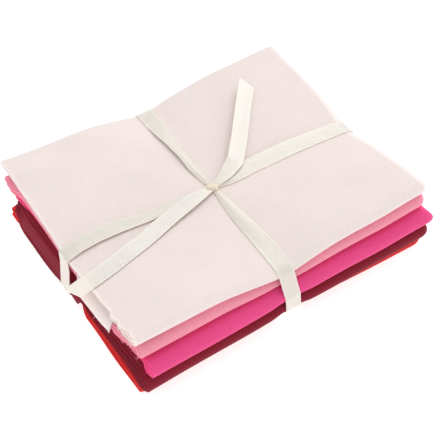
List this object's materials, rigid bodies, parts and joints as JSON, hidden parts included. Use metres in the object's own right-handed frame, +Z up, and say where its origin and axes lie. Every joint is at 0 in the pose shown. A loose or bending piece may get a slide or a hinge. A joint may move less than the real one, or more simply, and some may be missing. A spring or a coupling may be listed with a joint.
{
  "type": "fabric bundle",
  "caption": "Neat stack of folded cotton fabric pieces in shades from red to blush, tied crosswise with a narrow satin ribbon in a small knot.",
  "frame": {"origin": "under the middle of the bounding box, on the surface that the bundle rests on", "axes": "+X along the long sides of the stack, +Y from its folded front edge to its back, +Z up"},
  "size_m": [0.1522, 0.119, 0.0377],
  "materials": {
    "cotton_red": "matte plain woven cotton",
    "cotton_wine": "matte plain woven cotton",
    "cotton_fuchsia": "matte plain woven cotton",
    "cotton_rose": "matte plain woven cotton",
    "cotton_blush": "matte plain woven cotton",
    "satin_ivory": "soft satin ribbon"
  },
  "bodies": {
    "root": {"cloth_red": "cotton_red", "cloth_wine": "cotton_wine", "cloth_fuchsia": "cotton_fuchsia", "cloth_rose": "cotton_rose", "cloth_blush": "cotton_blush", "ribbon_tie": "satin_ivory"}
  },
  "joints": []
}
